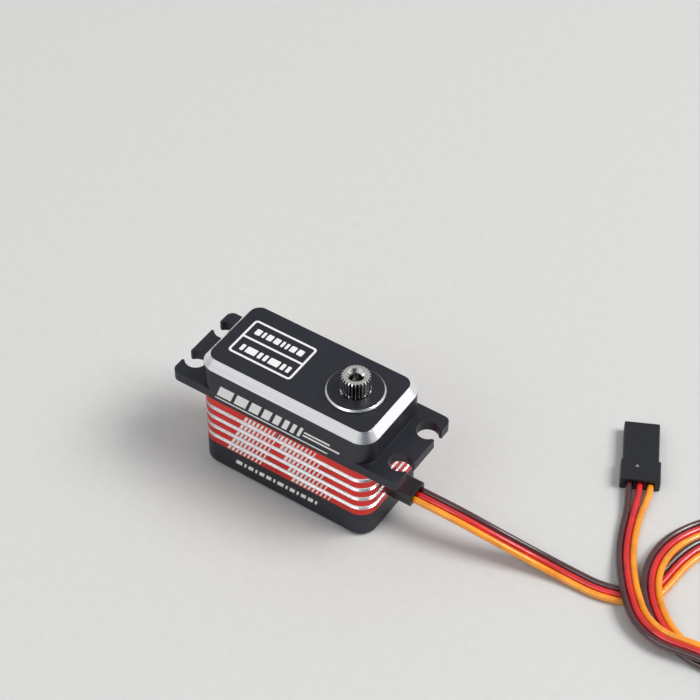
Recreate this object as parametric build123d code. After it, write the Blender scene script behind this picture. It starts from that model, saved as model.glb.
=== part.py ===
"""Low-profile servo motor with a three-piece case, metal gear train and three-wire lead.

Millimetres, +Z up. The origin is the middle of the case's underside. +X runs along the
case to the end that holds the output shaft, and the lead leaves at that same end.
"""

import os
from math import acos, atan2, copysign, cos, degrees, hypot, pi, radians, sin, tan

from build123d import *

os.makedirs("parts", exist_ok=True)

# Case
CASE_LENGTH = 40.8
CASE_WIDTH = 20.2
CASE_TOP = 29.5
BASE_JOINT = 6.5
TOP_JOINT = 19.4
CORNER_R = 3.8
WALL = 1.5
FLOOR_T = 1.5
ROOF_Z = 27.3
BULKHEAD_Z = 17.4
BEVEL_IN = 1.5
BEVEL_DOWN = 2.0
BASE_EDGE_R = 1.0
CAVITY_LENGTH = CASE_LENGTH - 2 * WALL
CAVITY_WIDTH = CASE_WIDTH - 2 * WALL
CAVITY_R = CORNER_R - WALL

# Mounting tabs
TAB_LENGTH = 53.7
TAB_LOW = 19.6
TAB_HIGH = 21.9
TAB_CORNER_R = 1.5
SLOT_X = 24.5
SLOT_Y = 5.0
SLOT_R = 2.3
SLOT_MOUTH = 2.8

# Decorative grooves round the middle case
GROOVE_LEVELS = [8.65, 11.4, 14.15, 16.9]
GROOVE_WIDTH = 1.05
GROOVE_DEPTH = 0.3

# Case screws and the pillars that they run in
SCREW_X = 17.4
SCREW_Y = 7.1
SCREW_R = 1.0
SCREW_TIP = 26.0
SCREW_HEAD_R = 1.75
SCREW_HEAD_H = 1.5
SCREW_SINK = 2.0
SOCKET_R = 0.8
PILLAR_R = 1.95
PILLAR_REACH = 4.0
SCREW_GAP = 0.04

# Seals
SEAL_WIDTH = 0.6
SEAL_DEPTH = 0.5
SEAL_INSET = 0.45

# Output shaft and its bearings
OUT_X = 10.8
BOSS_R = 6.0
BOSS_TOP = 30.1
BOSS_EDGE = 0.35
BOSS_HOLE_R = 3.15
SPLINE_TEETH = 25
SPLINE_R = 2.95
SPLINE_ROOT_R = 2.5
SPLINE_TOOTH = ((SPLINE_ROOT_R, -0.40), (SPLINE_R, -0.10), (SPLINE_R, 0.10), (SPLINE_ROOT_R, 0.40))
SPLINE_BASE = 30.15
SPLINE_TOP = 33.95
SPLINE_CHAMFER = 0.42
HORN_SCREW_R = 1.25
HORN_SCREW_MOUTH_R = 1.8
HORN_SCREW_MOUTH_DEPTH = 0.75
HORN_SCREW_BOTTOM = 28.0
UPPER_BEARING = {"bore": 3.0, "outer": 5.0, "low": 27.3, "high": 29.5}
LOWER_BEARING = {"bore": 2.0, "outer": 3.5, "low": 17.4, "high": 19.2}
MOTOR_BEARING = {"bore": 0.75, "outer": 2.0, "length": 1.4}
RACE_GAP = 0.02
BALLS = 9
RUNNING = 0.03

# Gear train: (centre), and for each gear the teeth, module, lower and upper face
PRESSURE_ANGLE = radians(25)
ADDENDUM = 0.8
DEDENDUM = 1.1
BACKLASH = 0.05
CLOSEST_POINTS = 0.0001
MOTOR_AT = (-7.037, 0.5)
PIN_A = (1.007, 1.45)
PIN_B = (-5.918, -2.3)
OUTPUT_AT = (OUT_X, 0.0)
PIN_R = 0.75
PIN_BOTTOM = 17.9
PIN_TOP = 28.3
PINION = (10, 0.30, 20.0, 21.2)
FIRST_WHEEL = (44, 0.30, 20.0, 21.2)
FIRST_PINION = (12, 0.35, 21.2, 23.4)
SECOND_WHEEL = (33, 0.35, 21.7, 23.1)
SECOND_PINION = (12, 0.35, 23.1, 25.0)
THIRD_WHEEL = (33, 0.35, 23.6, 24.8)
THIRD_PINION = (12, 0.45, 24.8, 27.1)
OUTPUT_WHEEL = (32, 0.45, 25.1, 27.1)
GEAR_SEAT_R = 3.2

# Motor
MOTOR_R = 7.4
MOTOR_LOW = 7.6
CAN_WALL = 0.5
CAN_FRONT = 0.8
STATOR_LOW = 9.9
STATOR_HIGH = 14.9
STATOR_BACK_R = 5.7
STATOR_BORE_R = 3.2
SLOTS = 6
TOOTH_WIDTH = 1.3
SHOE_DEPTH = 0.5
MAGNET_R = 2.95
ROTOR_SHAFT_TOP = 21.35
MOTOR_SCREW_OFFSET = 4.6

# Position sensor under the output shaft
SENSOR_SIZE = 8.6
SENSOR_LOW = 11.4
SENSOR_HIGH = 16.2
SENSOR_SHAFT_R = 1.0

# Control board
BOARD_LENGTH = 36.6
BOARD_WIDTH = 16.6
BOARD_LOW = 4.0
BOARD_T = 0.8
BOARD_POST_X = 9.0
BOARD_POST_Y = 7.4
BOARD_POST_R = 1.0

# Lead: three round wires side by side
WIRE_R = 0.7
WIRE_PITCH = 1.43
LEAD_Z = 8.2
RELIEF_END = 25.7
RELIEF_HALF_WIDTH = 2.65
RELIEF_LOW = 6.85
RELIEF_HIGH = 9.55
RELIEF_NECK_HALF = 2.3
RELIEF_NECK_TOP = 9.2
LEAD_OUT = [
    (RELIEF_END, 0.0, LEAD_Z),
    (30.2, 0.1, 8.1),
    (35.6, 0.6, 7.4),
    (41.5, 1.5, 5.8),
    (47.5, 2.8, 3.7),
    (53.3, 4.0, 1.8),
    (59.2, 4.6, 0.8),
    (64.8, 4.7, 0.75),
    (69.9, 6.1, 0.75),
    (73.9, 9.3, 0.75),
]
LEAD_BACK = [
    (86.2, 1.2, 2.25),
    (80.6, 0.1, 2.3),
    (75.0, 2.0, 2.4),
    (70.7, 6.6, 2.45),
    (67.6, 11.2, 1.6),
    (65.0, 15.8, 0.8),
    (63.0, 20.6, 0.75),
    (61.5, 25.6, 0.95),
    (60.3, 29.8, 1.4),
    (59.2, 32.5, 1.5),
]
COIL_OUTER = (88.5, 18.5, 19.8)
COIL_INNER = (91.0, 18.5, 12.3)
COIL_H = 3.0
COIL_EDGE_R = 0.7
TIE_WIDTH = 1.6
TIE_T = 0.35

# Connector on the end of the lead
PLUG_AT = (59.2, 32.5)
PLUG_HEADING = degrees(atan2(0.895, -0.445))
PLUG_LENGTH = 16.0
PLUG_REAR_LENGTH = 5.4
PLUG_REAR_WIDTH = 8.2
PLUG_REAR_H = 3.0
PLUG_FRONT_WIDTH = 7.4
PLUG_FRONT_H = 2.6
PIN_PITCH = 2.54
PIN_HOLE = 0.9
ENTRY_PITCH = 2.2
ENTRY_SIZE = 1.7
TERMINAL_SIZE = 1.5
TERMINAL_LENGTH = 9.0

# Solids stand on the plane they are placed on, and cutters run past what they cut
STANDING = (Align.CENTER, Align.CENTER, Align.MIN)
PAST = 1.0


def save(shape, name):
    """Write one node, with its solids gathered in one compound where there are several."""
    export_step(shape, f"parts/{name}.step")


def group(solids):
    """Several separate solids as one shape."""
    return Compound(children=list(solids))


def box(x0, x1, y0, y1, z0, z1):
    """A block between two corners."""
    return Pos(x0, y0, z0) * Box(x1 - x0, y1 - y0, z1 - z0, align=(Align.MIN,) * 3)


def spanning(x0, x1, y0, y1, z0, z1):
    """A block between two corners given in any order."""
    return box(min(x0, x1), max(x0, x1), min(y0, y1), max(y0, y1), z0, z1)


def rod(at, radius, low, high):
    """An upright cylinder over a point of the plan."""
    return Pos(at[0], at[1], low) * Cylinder(radius, high - low, align=STANDING)


def cone(at, low_r, high_r, low, high):
    """An upright cone over a point of the plan."""
    return Pos(at[0], at[1], low) * Cone(low_r, high_r, high - low, align=STANDING)


def tube(at, inner, outer, low, high):
    """An upright ring."""
    return rod(at, outer, low, high) - rod(at, inner, low - 1, high + 1)


def plate(length, width, corner, low, high):
    """A block with rounded upright corners, centred on the origin."""
    return Pos(0, 0, low) * extrude(RectangleRounded(length, width, corner), high - low)


def ring_plate(inset_out, inset_in, low, high):
    """A band that follows the case's outline between two insets."""

    def outline(inset, bottom, top):
        return plate(CASE_LENGTH - 2 * inset, CASE_WIDTH - 2 * inset, CORNER_R - inset, bottom, top)

    return outline(inset_out, low, high) - outline(inset_in, low - PAST, high + PAST)


def corners():
    """The four places of the case screws."""
    return [(sx * SCREW_X, sy * SCREW_Y) for sx in (-1, 1) for sy in (-1, 1)]


def cavity(low, high):
    """The inside of the case, less the four screw pillars."""
    space = plate(CAVITY_LENGTH, CAVITY_WIDTH, CAVITY_R, low, high)
    for x, y in corners():
        out_x = x + copysign(PILLAR_REACH, x)
        out_y = y + copysign(PILLAR_REACH, y)
        in_x = x - copysign(PILLAR_R, x)
        in_y = y - copysign(PILLAR_R, y)
        space -= rod((x, y), PILLAR_R, low - PAST, high + PAST)
        space -= spanning(x, out_x, in_y, out_y, low - PAST, high + PAST)
        space -= spanning(in_x, out_x, y, out_y, low - PAST, high + PAST)
    return space


def screw_holes(low, high):
    """Clearance for the four case screws."""
    return [rod(at, SCREW_R + SCREW_GAP, low, high) for at in corners()]


def involute(angle):
    """The involute function."""
    return tan(angle) - angle


def gear(at, spec, bore, tooth_at=0.0):
    """A spur gear with its bore, and with one tooth pointing along an angle in the plan."""
    teeth, module, low, high = spec
    pitch_r = module * teeth / 2
    base_r = pitch_r * cos(PRESSURE_ANGLE)
    tip_r = pitch_r + ADDENDUM * module
    root_r = pitch_r - DEDENDUM * module
    half_at_pitch = (pi * module / 2 - BACKLASH) / (2 * pitch_r)

    def half_angle(radius):
        pressure = acos(min(1.0, base_r / radius))
        return half_at_pitch + involute(PRESSURE_ANGLE) - involute(pressure)

    start = max(base_r, root_r)
    flank = [start + (tip_r - start) * share for share in (0.0, 0.35, 0.7, 1.0)]
    outline = []
    for tooth in range(teeth):
        middle = tooth_at + 2 * pi * tooth / teeth
        rising = [(root_r, middle - half_angle(start))] + [(r, middle - half_angle(r)) for r in flank]
        falling = [(r, middle + half_angle(r)) for r in reversed(flank)]
        falling.append((root_r, middle + half_angle(start)))
        outline += rising + falling
    points = [(r * cos(a), r * sin(a)) for r, a in outline]
    kept = []
    for before, point in zip(points[-1:] + points, points):
        if hypot(point[0] - before[0], point[1] - before[1]) > CLOSEST_POINTS:
            kept.append(point)
    blank = extrude(make_face(Polyline(*kept, close=True)), high - low)
    return Pos(at[0], at[1], low) * blank - rod(at, bore, low - 1, high + 1)


def heading(start, end):
    """The direction in the plan from one point to another."""
    return atan2(end[1] - start[1], end[0] - start[0])


def driver_phase(start, end):
    """A driving gear has a tooth on the line of centres."""
    return heading(start, end)


def driven_phase(start, end, teeth):
    """A driven gear has a gap on the line of centres."""
    return heading(start, end) + pi + pi / teeth


def bearing(at, bore, outer, low, high):
    """A ball bearing: its outer race, its balls and its inner race."""
    track = (bore + outer) / 2
    ball_r = (outer - bore) * 0.24
    groove = Pos(at[0], at[1], (low + high) / 2) * Torus(track, ball_r + RACE_GAP)
    outer_race = tube(at, track + ball_r * 0.55, outer, low, high) - groove
    inner_race = tube(at, bore, track - ball_r * 0.55, low, high) - groove
    ball_set = [
        Pos(at[0] + track * cos(a), at[1] + track * sin(a), (low + high) / 2) * Sphere(ball_r)
        for a in (2 * pi * i / BALLS for i in range(BALLS))
    ]
    return outer_race, group(ball_set), inner_race


# Case ------------------------------------------------------------------------------------


def mounting_slot(sx, sy):
    """A round hole with a narrower mouth that opens through the tab's end."""
    x, y = sx * SLOT_X, sy * SLOT_Y
    low, high = TAB_LOW - PAST, TAB_HIGH + PAST
    end = sx * (TAB_LENGTH / 2 + PAST)
    mouth = spanning(x, end, y - SLOT_MOUTH / 2, y + SLOT_MOUTH / 2, low, high)
    return rod((x, y), SLOT_R, low, high) + mouth


def top_case():
    """The upper shell with the tabs, the bevelled roof and the output boss."""
    shoulder = CASE_TOP - BEVEL_DOWN
    shell = plate(CASE_LENGTH, CASE_WIDTH, CORNER_R, TOP_JOINT, shoulder)
    rim = Pos(0, 0, shoulder) * RectangleRounded(CASE_LENGTH, CASE_WIDTH, CORNER_R)
    roof = Pos(0, 0, CASE_TOP) * RectangleRounded(
        CASE_LENGTH - 2 * BEVEL_IN, CASE_WIDTH - 2 * BEVEL_IN, CORNER_R - BEVEL_IN
    )
    shell += loft([rim, roof], ruled=True)
    tabs = plate(TAB_LENGTH, CASE_WIDTH, TAB_CORNER_R, TAB_LOW, TAB_HIGH)
    for sx in (-1, 1):
        for sy in (-1, 1):
            tabs -= mounting_slot(sx, sy)
    shell += tabs
    shell += rod(OUTPUT_AT, BOSS_R, CASE_TOP - 0.5, BOSS_TOP - BOSS_EDGE)
    shell += cone(OUTPUT_AT, BOSS_R, BOSS_R - BOSS_EDGE, BOSS_TOP - BOSS_EDGE, BOSS_TOP)
    shell -= cavity(TOP_JOINT - 1, ROOF_Z)
    shell -= rod(OUTPUT_AT, UPPER_BEARING["outer"], ROOF_Z - 1, UPPER_BEARING["high"])
    shell -= rod(OUTPUT_AT, BOSS_HOLE_R, ROOF_Z, BOSS_TOP + 1)
    for at in (PIN_A, PIN_B):
        shell -= rod(at, PIN_R, ROOF_Z - 1, PIN_TOP)
    for hole in screw_holes(TOP_JOINT - 1, SCREW_TIP + 0.3):
        shell -= hole
    return shell


def middle_case():
    """The grooved middle shell, with the bulkhead that carries the gears and the motor."""
    shell = plate(CASE_LENGTH, CASE_WIDTH, CORNER_R, BASE_JOINT, TOP_JOINT)
    for level in GROOVE_LEVELS:
        shell -= ring_plate(-1, GROOVE_DEPTH, level - GROOVE_WIDTH / 2, level + GROOVE_WIDTH / 2)
    shell -= cavity(BASE_JOINT - 1, BULKHEAD_Z)
    shell -= ring_plate(SEAL_INSET, SEAL_INSET + SEAL_WIDTH, TOP_JOINT - SEAL_DEPTH, TOP_JOINT + 1)
    for hole in screw_holes(BASE_JOINT - 1, TOP_JOINT + 1):
        shell -= hole
    shell -= rod(MOTOR_AT, MOTOR_BEARING["outer"] + 0.4, BULKHEAD_Z - 1, TOP_JOINT + 1)
    shell -= rod(OUTPUT_AT, LOWER_BEARING["outer"], LOWER_BEARING["low"], TOP_JOINT + 1)
    shell -= rod(OUTPUT_AT, LOWER_BEARING["outer"] - 0.5, BULKHEAD_Z - 1, TOP_JOINT + 1)
    for at in (PIN_A, PIN_B):
        shell -= rod(at, PIN_R, PIN_BOTTOM, TOP_JOINT + 1)
    for at in motor_screw_places():
        shell -= rod(at, 0.65, BULKHEAD_Z - 1, TOP_JOINT + 1)
        shell -= rod(at, 1.2, TOP_JOINT - 0.8, TOP_JOINT + 1)
    end, neck = CASE_LENGTH / 2, RELIEF_NECK_HALF
    shell -= box(end - WALL - PAST, end + PAST, -neck, neck, BASE_JOINT - PAST, RELIEF_NECK_TOP)
    return shell


def bottom_cover():
    """The shallow lower shell with the counterbores for the case screws."""
    shell = plate(CASE_LENGTH, CASE_WIDTH, CORNER_R, 0, BASE_JOINT)
    shell = fillet(shell.edges().filter_by(lambda e: e.bounding_box().max.Z < 0.01), BASE_EDGE_R)
    shell -= cavity(FLOOR_T, BASE_JOINT + 1)
    shell -= ring_plate(SEAL_INSET, SEAL_INSET + SEAL_WIDTH, BASE_JOINT - SEAL_DEPTH, BASE_JOINT + 1)
    for hole in screw_holes(-1, BASE_JOINT + 1):
        shell -= hole
    for at in corners():
        shell -= rod(at, SCREW_HEAD_R + 0.1, -1, SCREW_SINK)
    for x in (-BOARD_POST_X, BOARD_POST_X):
        for y in (-BOARD_POST_Y, BOARD_POST_Y):
            shell += rod((x, y), BOARD_POST_R, FLOOR_T - 0.2, BOARD_LOW)
    return shell


def case_screws():
    """Four long socket-head screws that clamp the three shells together."""
    screws = []
    for at in corners():
        low = SCREW_SINK - SCREW_HEAD_H
        screw = rod(at, SCREW_R, SCREW_SINK - 0.1, SCREW_TIP) + rod(at, SCREW_HEAD_R, low, SCREW_SINK)
        socket = Pos(at[0], at[1], low - 1) * extrude(RegularPolygon(SOCKET_R, 6), 1.9)
        screws.append(screw - socket)
    return group(screws)


def seals():
    """The upper and lower seals, each lying in its groove."""
    upper = ring_plate(SEAL_INSET, SEAL_INSET + SEAL_WIDTH, TOP_JOINT - SEAL_DEPTH, TOP_JOINT)
    lower = ring_plate(SEAL_INSET, SEAL_INSET + SEAL_WIDTH, BASE_JOINT - SEAL_DEPTH, BASE_JOINT)
    return upper, lower


# Output and gear train ---------------------------------------------------------------------


def spline_shape():
    """The toothed end of the output shaft, with the tooth ends chamfered."""
    step = 2 * pi / SPLINE_TEETH
    points = []
    for tooth in range(SPLINE_TEETH):
        middle = tooth * step
        for radius, share in SPLINE_TOOTH:
            angle = middle + share * step
            points.append((radius * cos(angle), radius * sin(angle)))
    toothed = extrude(make_face(Polyline(*points, close=True)), SPLINE_TOP - SPLINE_BASE)
    toothed = Pos(OUT_X, 0, SPLINE_BASE) * toothed
    shoulder = SPLINE_TOP - SPLINE_CHAMFER
    limit = rod(OUTPUT_AT, SPLINE_R + 0.1, SPLINE_BASE, shoulder)
    limit += cone(OUTPUT_AT, SPLINE_R + 0.1, SPLINE_R + 0.1 - SPLINE_CHAMFER, shoulder, SPLINE_TOP)
    return toothed & limit


def output_shaft():
    """The stepped output shaft: journals, gear seat, spline and tapped hole."""
    lower, upper = LOWER_BEARING, UPPER_BEARING
    shaft = rod(OUTPUT_AT, lower["bore"] - 0.005, lower["low"] - 0.5, lower["high"] + 0.3)
    shaft += rod(OUTPUT_AT, 2.6, lower["high"] + 0.3, OUTPUT_WHEEL[2] - 0.2)
    shaft += rod(OUTPUT_AT, 3.9, OUTPUT_WHEEL[2] - 0.7, OUTPUT_WHEEL[2])
    shaft += rod(OUTPUT_AT, GEAR_SEAT_R, OUTPUT_WHEEL[2], OUTPUT_WHEEL[3] + 0.1)
    shaft += rod(OUTPUT_AT, upper["bore"] - 0.005, OUTPUT_WHEEL[3], upper["high"] + 0.1)
    shaft += rod(OUTPUT_AT, SPLINE_ROOT_R - 0.05, upper["high"], SPLINE_BASE + 0.1)
    shaft += spline_shape()
    shaft -= rod(OUTPUT_AT, HORN_SCREW_R, HORN_SCREW_BOTTOM, SPLINE_TOP + 1)
    mouth_low = SPLINE_TOP - HORN_SCREW_MOUTH_DEPTH
    shaft -= cone(OUTPUT_AT, HORN_SCREW_R, HORN_SCREW_MOUTH_R, mouth_low, SPLINE_TOP)
    shaft -= rod(OUTPUT_AT, SENSOR_SHAFT_R, lower["low"] - 1, lower["low"] + 2.5)
    return shaft


def reduction_gear(at, wheel, pinion, wheel_phase, pinion_phase):
    """A compound gear: a wheel with a pinion on top, turning on a pin."""
    bore = PIN_R + RUNNING
    return gear(at, wheel, bore, wheel_phase) + gear(at, pinion, bore, pinion_phase)


# Motor -------------------------------------------------------------------------------------


def motor_screw_places():
    """The two screws that hold the motor under the bulkhead."""
    return [(MOTOR_AT[0] + side * MOTOR_SCREW_OFFSET, MOTOR_AT[1]) for side in (-1, 1)]


def motor_can():
    """The motor's shell with its front face against the bulkhead."""
    high, seat = BULKHEAD_Z, MOTOR_BEARING["outer"]
    can = rod(MOTOR_AT, MOTOR_R, MOTOR_LOW, high)
    can -= rod(MOTOR_AT, MOTOR_R - CAN_WALL, MOTOR_LOW - 1, high - CAN_FRONT)
    can += tube(MOTOR_AT, seat, seat + 0.6, high - 2.0, high - CAN_FRONT)
    can -= rod(MOTOR_AT, seat, high - 2.1, high - 0.3)
    can -= rod(MOTOR_AT, seat - 0.5, high - 1, high + 1)
    for at in motor_screw_places():
        can -= rod(at, 0.55, high - 2, high + 1)
    return can


def motor_end_cap():
    """The motor's rear cap with the rear bearing seat and three wire holes."""
    cap = rod(MOTOR_AT, MOTOR_R - CAN_WALL, MOTOR_LOW, MOTOR_LOW + 1.9)
    cap -= rod(MOTOR_AT, MOTOR_BEARING["outer"], MOTOR_LOW + 0.4, MOTOR_LOW + 3)
    for at in phase_lead_places():
        cap -= rod(at, 0.42, MOTOR_LOW - 1, MOTOR_LOW + 3)
    return cap


def phase_lead_places():
    """Where the motor's three wires leave the rear cap."""
    angles = [radians(a) for a in (150, 180, 210)]
    return [(MOTOR_AT[0] + 4.9 * cos(a), MOTOR_AT[1] + 4.9 * sin(a)) for a in angles]


def stator_tooth(index):
    """One stator tooth with the shoe at its inner end."""
    half = TOOTH_WIDTH / 2
    tooth = box(STATOR_BORE_R, STATOR_BACK_R + 0.3, -half, half, STATOR_LOW, STATOR_HIGH)
    half_gap = pi / SLOTS - 0.12
    shoe = tube((0, 0), STATOR_BORE_R, STATOR_BORE_R + SHOE_DEPTH, STATOR_LOW, STATOR_HIGH)
    reach = STATOR_BACK_R
    corner = reach * tan(half_gap)
    wedge_face = make_face(Polyline((0, 0), (reach, -corner), (reach, corner), close=True))
    wedge = Pos(0, 0, STATOR_LOW) * extrude(wedge_face, STATOR_HIGH - STATOR_LOW)
    return Pos(*MOTOR_AT, 0) * Rot(0, 0, 360 * index / SLOTS + 30) * (tooth + (shoe & wedge))


def stator_core():
    """The laminated stator: a back ring with inward teeth."""
    core = tube(MOTOR_AT, STATOR_BACK_R, MOTOR_R - CAN_WALL, STATOR_LOW, STATOR_HIGH)
    for index in range(SLOTS):
        core += stator_tooth(index)
    return core


def stator_windings():
    """One coil of wire round each stator tooth."""
    coils = []
    for index in range(SLOTS):
        low, high = STATOR_LOW - 0.3, STATOR_HIGH + 0.3
        inner, outer = STATOR_BORE_R + SHOE_DEPTH + 0.1, STATOR_BACK_R - 0.25
        block = box(inner, outer, -TOOTH_WIDTH / 2 - 0.65, TOOTH_WIDTH / 2 + 0.65, low, high)
        block -= box(inner - 1, outer + 1, -TOOTH_WIDTH / 2, TOOTH_WIDTH / 2, STATOR_LOW, STATOR_HIGH)
        coils.append(Pos(*MOTOR_AT, 0) * Rot(0, 0, 360 * index / SLOTS + 30) * block)
    return group(coils)


def rotor_shaft():
    """The motor's steel shaft, with a collar under the magnet."""
    shaft = rod(MOTOR_AT, MOTOR_BEARING["bore"] - 0.005, MOTOR_LOW + 0.5, ROTOR_SHAFT_TOP)
    return shaft + rod(MOTOR_AT, 1.1, STATOR_LOW - 0.3, STATOR_LOW)


def motor_bearings():
    """The rear and front bearings, as the rings that stay still in the motor."""
    length, bore, outer = (MOTOR_BEARING[key] for key in ("length", "bore", "outer"))
    rings = []
    for low in (MOTOR_LOW + 0.4, BULKHEAD_Z - 0.3 - length):
        rings.append(tube(MOTOR_AT, bore + RUNNING, outer, low, low + length))
    return group(rings)


def motor_screws():
    """Two small pan-head screws, from the gear side into the motor's face."""
    screws = []
    head_low, head_high = TOP_JOINT - 0.8, TOP_JOINT - 0.1
    for at in motor_screw_places():
        screw = rod(at, 0.5, BULKHEAD_Z - CAN_FRONT, head_low + 0.1) + rod(at, 1.1, head_low, head_high)
        slot = Pos(at[0], at[1], head_high) * Box(2.4, 0.3, 0.5)
        screws.append(screw - slot)
    return group(screws)


# Sensor and electronics ----------------------------------------------------------------------


def sensor_body():
    """The position sensor's housing under the output shaft."""
    half = SENSOR_SIZE / 2
    body = box(OUT_X - half, OUT_X + half, -half, half, SENSOR_LOW, SENSOR_HIGH)
    body = fillet(body.edges().filter_by(Axis.Z), 1.2)
    body += rod(OUTPUT_AT, 2.4, SENSOR_HIGH - 0.2, SENSOR_HIGH + 0.5)
    return body - rod(OUTPUT_AT, SENSOR_SHAFT_R + RUNNING, SENSOR_LOW + 0.8, SENSOR_HIGH + 1)


def sensor_shaft():
    """The sensor's spindle, gripped in the output shaft's lower bore."""
    return rod(OUTPUT_AT, SENSOR_SHAFT_R, SENSOR_LOW + 0.9, LOWER_BEARING["low"] + 2.4)


def sensor_leads():
    """Three straight leads from the sensor to the board."""
    return group(rod((OUT_X + 3.0, y), 0.25, BOARD_LOW + BOARD_T, SENSOR_LOW) for y in (-2.0, 0.0, 2.0))


def phase_leads():
    """Three wires from the motor to the board."""
    return group(rod(at, 0.4, BOARD_LOW + BOARD_T, MOTOR_LOW + 1.8) for at in phase_lead_places())


def control_board():
    """The circuit board, cut away round the screw pillars."""
    board = plate(BOARD_LENGTH, BOARD_WIDTH, 0.8, BOARD_LOW, BOARD_LOW + BOARD_T)
    for x, y in corners():
        board -= box(x - 2.6, x + 2.6, y - 2.4, y + 2.4, BOARD_LOW - 1, BOARD_LOW + 2)
    return board


def board_chips():
    """The controller and the six power transistors, on both faces of the board."""
    under, over = BOARD_LOW, BOARD_LOW + BOARD_T
    chips = [box(2.0, 7.0, -2.5, 2.5, under - 0.9, under), box(8.6, 11.6, -2.4, 2.4, under - 1.1, under)]
    for i in range(3):
        for side in (-1, 1):
            x, y = -11.6 + 4.0 * i, 2.6 * side
            chips.append(box(x - 1.5, x + 1.5, y - 1.5, y + 1.5, under - 0.8, under))
    chips.append(box(1.6, 4.6, -1.6, 1.6, over, over + 1.0))
    return group(chips)


def board_passives():
    """Ceramic capacitors and resistors in two rows along the board."""
    over = BOARD_LOW + BOARD_T
    pieces = []
    for i in range(9):
        for y in (-6.3, 6.3):
            x = -11.2 + 2.8 * i
            pieces.append(box(x - 0.8, x + 0.8, y - 0.4, y + 0.4, over, over + 0.6))
    return group(pieces)


# Lead and connector -----------------------------------------------------------------------------


def strain_relief():
    """The moulded grommet that grips the lead where it leaves the case."""
    wall_out = CASE_LENGTH / 2
    wall_in = wall_out - WALL
    half, neck = RELIEF_HALF_WIDTH, RELIEF_NECK_HALF
    outside = box(wall_out, RELIEF_END, -half, half, RELIEF_LOW, RELIEF_HIGH)
    outside = chamfer(outside.edges().filter_by(Axis.X), 0.35)
    block = outside + box(wall_in, wall_out, -neck, neck, BASE_JOINT, RELIEF_NECK_TOP)
    block += box(wall_in - 1.0, wall_in, -neck - 0.5, neck + 0.5, BASE_JOINT + 0.1, RELIEF_NECK_TOP + 0.4)
    for side in (-1, 0, 1):
        bore = Pos(wall_in - 2, side * WIRE_PITCH, LEAD_Z) * Rot(0, 90, 0)
        block -= bore * Cylinder(WIRE_R, RELIEF_END + 3 - wall_in, align=STANDING)
    return block


def inner_wires():
    """The wires' stretch through the grommet and down to the board."""
    board_top = BOARD_LOW + BOARD_T
    wires = []
    for side in (-1, 0, 1):
        y = side * WIRE_PITCH
        path = FilletPolyline(
            (RELIEF_END - 0.3, y, LEAD_Z), (15.6, y, LEAD_Z), (15.6, y, board_top), radius=1.2
        )
        section = Plane(origin=path @ 0, z_dir=path % 0) * Circle(WIRE_R - 0.01)
        wires.append(sweep(section, path=path))
    return group(wires)


def beside(route, shifts):
    """The same route moved sideways in the plan, to its left for a positive shift."""
    moved = []
    for i, (x, y, z) in enumerate(route):
        turns = []
        for a, b in ((i - 1, i), (i, i + 1)):
            if a >= 0 and b < len(route):
                turns.append(heading(route[a], route[b]))
        middle = sum(turns) / len(turns)
        reach = shifts[i] / cos((turns[-1] - turns[0]) / 2)
        moved.append((x - reach * sin(middle), y + reach * cos(middle), z))
    return moved


def corner_radii(route):
    """The largest arc that each corner's two runs leave room for."""
    points = [Vector(*p) for p in route]
    radii = []
    for a, b, c in zip(points, points[1:], points[2:]):
        half = radians((b - a).get_angle(c - b)) / 2
        radii.append(0.45 * min((b - a).length, (c - b).length) / tan(half))
    return radii


def wire_tube(name, route):
    """A wire along its route, printed with its radii and checked against its volume."""
    radii = corner_radii(route)
    path = FilletPolyline(*route, radius=radii)
    section = Plane(origin=path @ 0, z_dir=path % 0) * Circle(WIRE_R)
    solid = sweep(section, path=path)
    share = solid.volume / (pi * WIRE_R**2 * path.length)
    print(name, "length", round(path.length, 1), "volume share", round(share, 4))
    print("  radii", [round(r, 1) for r in radii])
    return solid


def lead_wire(name, side):
    """One wire of the lead: from the grommet to the coil, and from the coil to the connector."""
    spread = [side * WIRE_PITCH] * (len(LEAD_BACK) - 3)
    spread += [side * (WIRE_PITCH + share * (ENTRY_PITCH - WIRE_PITCH)) for share in (0.35, 0.85, 1.0)]
    out = wire_tube(name + " out", beside(LEAD_OUT, [side * WIRE_PITCH] * len(LEAD_OUT)))
    back = wire_tube(name + " back", beside(LEAD_BACK, spread))
    return group([out, back])


def lead_coil(tie):
    """The outer shape of the lead's two loose turns, narrow where the tie holds them."""
    x, y, radius = COIL_OUTER
    coil = rod((x, y), radius, 0, COIL_H)
    x, y, radius = COIL_INNER
    coil -= rod((x, y), radius, -1, COIL_H + 1)
    rims = coil.edges().filter_by(GeomType.CIRCLE)
    return fillet(rims, COIL_EDGE_R) - tie


def lead_tie():
    """A flat band round both turns at the far side of the coil."""
    inner_x = COIL_INNER[0] + COIL_INNER[2] - 0.15
    outer_x = COIL_OUTER[0] + COIL_OUTER[2] + 0.15
    y = COIL_OUTER[1]
    half = TIE_WIDTH / 2
    band = box(inner_x - TIE_T, outer_x + TIE_T, y - half, y + half, 0, COIL_H + 2 * TIE_T)
    band = fillet(band.edges().filter_by(Axis.Y), 0.5)
    return band - box(inner_x, outer_x, y - half - 1, y + half + 1, TIE_T, COIL_H + TIE_T)


def plug_place(shape):
    """Move a piece from the connector's own frame, whose +X points to its tip, to the floor."""
    return Pos(*PLUG_AT, 0) * Rot(0, 0, PLUG_HEADING) * shape


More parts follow.
